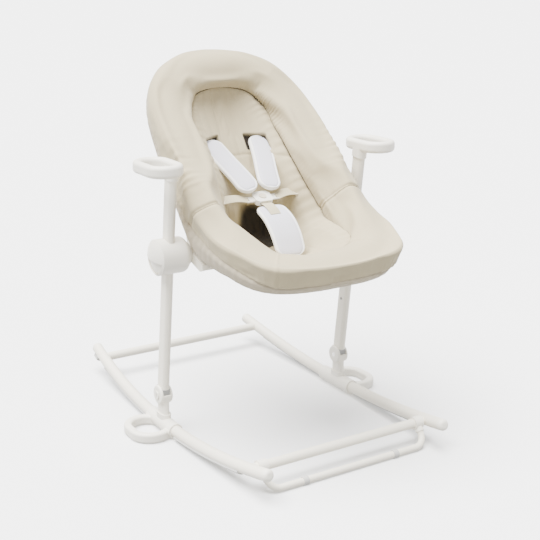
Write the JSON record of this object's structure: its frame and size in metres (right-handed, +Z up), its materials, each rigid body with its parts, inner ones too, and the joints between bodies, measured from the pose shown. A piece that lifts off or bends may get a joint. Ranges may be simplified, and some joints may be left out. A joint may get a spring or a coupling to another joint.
{
  "type": "baby bouncer seat",
  "caption": "Baby rocker seat with a padded reclining shell on two height-adjustable folding posts, curved rockers, ring handles, a harness and a kickstand.",
  "frame": {"origin": "on the floor under the middle of the object, midway between the rockers and their front and rear ends", "axes": "+X from the left rocker to the right as seen from the front, +Y from the foot end to the head end, +Z up"},
  "size_m": [0.629, 0.8116, 0.7918],
  "materials": {
    "frame_paint": "satin",
    "shell_plastic": "satin",
    "white_plastic": "satin",
    "grey_plastic": "matte",
    "steel": "satin",
    "rubber": "matte",
    "bolster_fabric": "matte",
    "pad_fabric": "matte",
    "sling_fabric": "matte",
    "quilted_white": "matte",
    "webbing": "matte",
    "buckle_plastic": "satin"
  },
  "bodies": {
    "base": {"left_rocker": "frame_paint", "right_rocker": "frame_paint", "rocker_end_caps": "shell_plastic", "front_cross_tube": "frame_paint", "rear_cross_tube": "frame_paint", "left_ring_foot": "shell_plastic", "right_ring_foot": "shell_plastic", "left_fork": "shell_plastic", "right_fork": "shell_plastic", "left_pivot_pin": "steel", "right_pivot_pin": "steel", "grip_strips": "rubber", "rear_stops": "rubber"},
    "left_fold_button": {"left_fold_button": "white_plastic"},
    "right_fold_button": {"right_fold_button": "white_plastic"},
    "kickstand": {"kickstand_bar": "frame_paint", "left_kick_clip": "shell_plastic", "right_kick_clip": "shell_plastic", "kickstand_bumpers": "rubber"},
    "posts": {"left_post": "frame_paint", "right_post": "frame_paint", "left_post_shoe": "grey_plastic", "right_post_shoe": "grey_plastic", "left_ring_handle": "shell_plastic", "right_ring_handle": "shell_plastic", "post_end_stops": "grey_plastic"},
    "carriage": {"left_hub_shell": "shell_plastic", "right_hub_shell": "shell_plastic", "left_hub_cap": "white_plastic", "right_hub_cap": "white_plastic", "left_seat_axle": "steel", "right_seat_axle": "steel"},
    "left_paddle": {"left_release_paddle": "shell_plastic"},
    "right_paddle": {"right_release_paddle": "shell_plastic"},
    "left_lock": {"left_lock_pin": "steel", "left_lock_spring": "steel"},
    "right_lock": {"right_lock_pin": "steel", "right_lock_spring": "steel"},
    "seat": {"left_seat_bracket": "shell_plastic", "right_seat_bracket": "shell_plastic", "seat_frame_tube": "frame_paint", "seat_bolster": "bolster_fabric", "seat_pad": "pad_fabric", "seat_sling": "sling_fabric", "crotch_strap": "webbing", "crotch_pad": "quilted_white", "waist_straps": "webbing", "strap_adjusters": "buckle_plastic", "buckle_body": "buckle_plastic", "buckle_tongues": "buckle_plastic"},
    "buckle_button": {"buckle_button": "buckle_plastic"},
    "back": {"left_back_bracket": "shell_plastic", "right_back_bracket": "shell_plastic", "back_frame_tube": "frame_paint", "back_bolster": "bolster_fabric", "back_pad": "pad_fabric", "back_sling": "sling_fabric", "shoulder_pads": "quilted_white", "recline_housing": "white_plastic"},
    "recline_lever": {"recline_lever": "grey_plastic"}
  },
  "joints": [
    {"name": "left_fold_button_press", "type": "slide", "parent": "base", "child": "left_fold_button", "axis": [1, 0, 0], "range_m": [0, 0.0024], "stiffness_N_per_m": 600},
    {"name": "right_fold_button_press", "type": "slide", "parent": "base", "child": "right_fold_button", "axis": [-1, 0, 0], "range_m": [0, 0.0024], "stiffness_N_per_m": 600},
    {"name": "kickstand_fold", "type": "hinge", "parent": "base", "child": "kickstand", "pos_m": [0, -0.34, 0.04665], "axis": [1, 0, 0], "range_deg": [-100, 0]},
    {"name": "post_fold", "type": "hinge", "parent": "base", "child": "posts", "pos_m": [0, 0, 0.083], "axis": [1, 0, 0], "range_deg": [-91, 0]},
    {"name": "seat_height", "type": "slide", "parent": "posts", "child": "carriage", "axis": [0, -0.1305, 0.9914], "range_m": [-0.135, 0.045]},
    {"name": "left_paddle_lift", "type": "slide", "parent": "carriage", "child": "left_paddle", "axis": [0, -0.1305, 0.9914], "range_m": [0, 0.005], "stiffness_N_per_m": 500},
    {"name": "right_paddle_lift", "type": "slide", "parent": "carriage", "child": "right_paddle", "axis": [0, -0.1305, 0.9914], "range_m": [0, 0.005], "stiffness_N_per_m": 500},
    {"name": "left_lock_draw", "type": "slide", "parent": "carriage", "child": "left_lock", "axis": [0, 0.9914, 0.1305], "range_m": [0, 0.005]},
    {"name": "right_lock_draw", "type": "slide", "parent": "carriage", "child": "right_lock", "axis": [0, 0.9914, 0.1305], "range_m": [0, 0.005]},
    {"name": "seat_level", "type": "hinge", "parent": "carriage", "child": "seat", "pos_m": [0, -0.04177, 0.40026], "axis": [1, 0, 0], "range_deg": [0, 91]},
    {"name": "buckle_button_press", "type": "slide", "parent": "seat", "child": "buckle_button", "axis": [0, 0.4226, -0.9063], "range_m": [0, 0.0025], "stiffness_N_per_m": 500},
    {"name": "recline", "type": "hinge", "parent": "seat", "child": "back", "pos_m": [0, -0.04177, 0.40026], "axis": [1, 0, 0], "range_deg": [-27, 0]},
    {"name": "recline_lever_squeeze", "type": "hinge", "parent": "back", "child": "recline_lever", "pos_m": [0, 0.21671, 0.70976], "axis": [1, 0, 0], "range_deg": [0, 20], "stiffness_Nm_per_rad": 0.4}
  ],
  "couplings": [
    {"joint": "seat_level", "follows": "post_fold", "ratio": -1},
    {"joint": "left_lock_draw", "follows": "left_paddle_lift", "ratio": 1},
    {"joint": "right_lock_draw", "follows": "right_paddle_lift", "ratio": 1}
  ]
}
